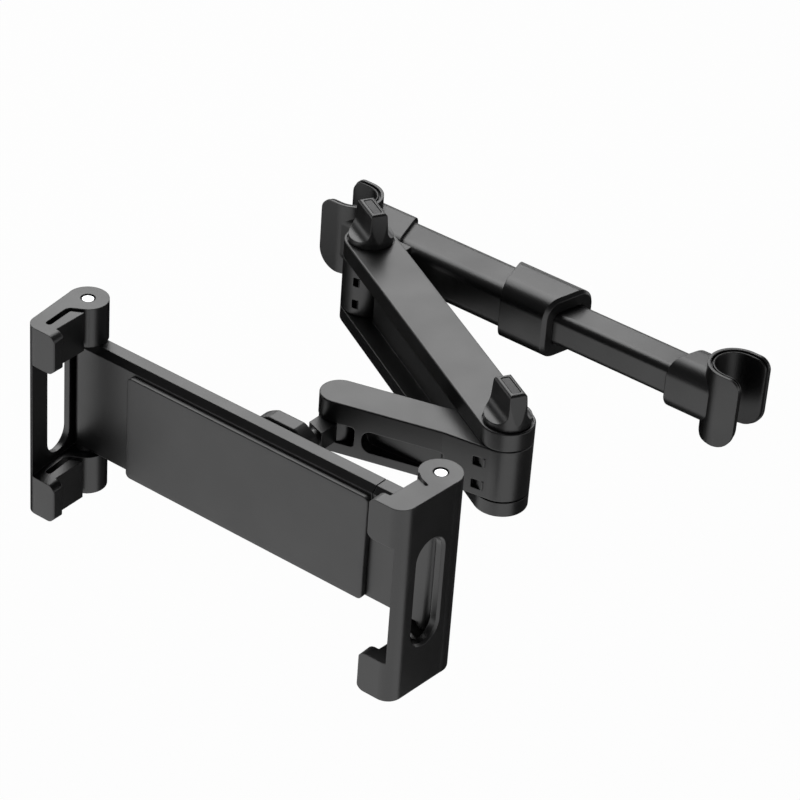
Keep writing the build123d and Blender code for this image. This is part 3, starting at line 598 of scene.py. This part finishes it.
pad_low, pad_high = (np.array(corner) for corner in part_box("front_pad"))
surface_from_grid(
    "silicone_front_pad",
    pad_points(pad_low, pad_high, pad_rim, pad_swell),
    "holder",
    "pad_rubber",
    "front_pad",
)

# %% [markdown]
# The liners are elastomer, moulded over the inside of each hook so that the post isn't scratched. The
# liner is a T section: a thick band in the groove of the hook, and a proud lip that covers the hook's
# edge. The section is carried along the U of the hook. A curve object with a bevel profile could carry it
# too, but then nothing could thin the liner where the hook is rounded. First the path and the edge.

# %% The path of a hook and its rounded edge
def u_path(leg, leg_steps=24, bend_steps=64):
    """Middles (u, w) and outward directions along a U: in along one leg, round the bend, out again.

    A point of the section at distance d from the middle line lies at middle + d * outward. On a leg the
    middles are u = leg * sin a, so they crowd at the mouth, and on the bend they all lie at its centre.
    """
    mouth = leg * np.sin(np.linspace(np.pi / 2, 0.0, leg_steps))
    turn = np.linspace(0.0, np.pi, bend_steps)[1:-1]
    middles = np.concatenate((
        np.stack((mouth, np.zeros(leg_steps)), -1),
        np.zeros((len(turn), 2)),
        np.stack((mouth[::-1], np.zeros(leg_steps)), -1),
    ))
    outward = np.concatenate((
        np.tile((0.0, 1.0), (leg_steps, 1)),
        np.stack((-np.sin(turn), np.cos(turn)), -1),
        np.tile((0.0, -1.0), (leg_steps, 1)),
    ))
    return middles, outward


def edge_drop(u, mouth, corner):
    """How far an edge drops near the mouth: corner - sqrt(corner^2 - past^2), past the start of the arc."""
    past = np.clip(u - (mouth - corner), 0.0, corner)
    return corner - np.sqrt(corner ** 2 - past ** 2)


post_radius = 8.0 * mm
print("rows along a U", len(u_path(post_radius)[0]))

# %% [markdown]
# The section is a row of points from the clear inside to the floor of the groove and back, with small
# rounds on the lip. Its height follows the side view of the hook, whose mouth and back are rounded, so the
# ends of the liner thin out along arcs.

# %% Hook liners
lip_radius = 8.8 * mm
groove_radius = 9.55 * mm
shell_radius = 10.7 * mm
top_corner = 4.5 * mm
bottom_corner = 8.5 * mm
back_corner = 5.5 * mm
lip_height = 1.0 * mm
lip_round = 0.3 * mm


def liner_points(post_x, facing, low, high, round_steps=5):
    """The T section carried along the U, cut off above and below by the hook's rounded side view.

    Half of the section is a row of distances from the middle line and depths below the edge: a quarter
    round at the inside, another at the lip's outside, a step down, and the band. The other half mirrors it.
    """
    leg = (high[0] - low[0]) - groove_radius
    turn = np.linspace(0.0, np.pi / 2, round_steps)
    back_in = lip_round * (1 - np.sin(turn))
    down = lip_round * (1 - np.cos(turn))
    half = np.concatenate((
        np.stack((post_radius + back_in, down), -1)[::-1],
        np.stack((lip_radius - back_in, down), -1),
        np.array(((lip_radius, lip_height), (groove_radius, lip_height))),
    ))
    distance = np.concatenate((half[:, 0], half[::-1, 0]))
    depth = np.concatenate((half[:, 1], half[::-1, 1]))
    side = np.repeat((1.0, -1.0), len(half))
    middles, outward = u_path(leg)
    u = middles[:, :1] + outward[:, :1] * distance
    w = middles[:, 1:] + outward[:, 1:] * distance
    top = high[2] - edge_drop(u, leg, top_corner)
    behind = edge_drop(-u, shell_radius, back_corner)
    bottom = low[2] + edge_drop(u, leg, bottom_corner) + behind
    z = np.where(side > 0, top - depth, bottom + depth)
    return np.stack((post_x + facing * u, w, z), -1)


for node, body, facing in (("left_hook_liner", "bar", -1.0), ("right_hook_liner", "slide_bar", 1.0)):
    low, high = (np.array(corner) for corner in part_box(node))
    post_x = high[0] - groove_radius if facing < 0 else low[0] + groove_radius
    surface_from_grid(
        "elastomer_" + node,
        liner_points(post_x, facing, low, high),
        body,
        "soft_liner",
        node,
    )

# %% [markdown]
# ## The spring in the bar
# A coil spring inside the outer tube pushes the inner bar out. It has to grow shorter when the bar slides
# in, and a rigid solid can't do that. So the wire is worked out again as a surface, a small circle carried
# along a helix. The ends of a real spring are closed coils that lie flat, so the pitch falls to a wire's
# thickness over the first and the last turn. A Screw modifier makes a helix as well, but with one pitch
# from end to end.

# %% Bar spring
wire = 0.5 * mm
coil_turns = 13


def coil_points(start, end, coil, wire, turns, around=8, per_turn=32):
    """A circle of radius wire carried along a helix of radius coil from x = start to x = end.

    The advance along x is the running sum of a pitch that is small in the first and the last turn. Ring k
    stands square to the helix: its two directions are the outward radius and the cross product of the
    tangent with it.
    """
    steps = turns * per_turn + 1
    turned = np.linspace(0.0, turns, steps)
    closed = np.minimum(turned, turns - turned) < 1.0
    pace = np.where(closed, 2 * wire, (end - start - 4 * wire) / (turns - 2))
    advance = np.concatenate(([0.0], np.cumsum((pace[1:] + pace[:-1]) / 2)))
    x = start + wire + advance / advance[-1] * (end - start - 2 * wire)
    angle = 2 * np.pi * turned
    outward = np.stack((np.zeros(steps), np.cos(angle), np.sin(angle)), -1)
    line = np.column_stack((x, coil * outward[:, 1], coil * outward[:, 2]))
    tangent = np.gradient(line, axis=0)
    tangent = tangent / np.linalg.norm(tangent, axis=1, keepdims=True)
    across = np.cross(tangent, outward)
    turn = np.linspace(0.0, 2 * np.pi, around, endpoint=False)[None, :, None]
    return line[:, None] + wire * (np.cos(turn) * outward[:, None] + np.sin(turn) * across[:, None])


spring_low, spring_high = (np.array(corner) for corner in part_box("bar_spring"))
coil = (spring_high[1] - spring_low[1]) / 2 - wire
spring = surface_from_grid(
    "drawn_wire_bar_spring",
    coil_points(spring_low[0], spring_high[0], coil, wire, coil_turns),
    "bar",
    "spring_steel",
    "bar_spring",
)
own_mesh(spring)
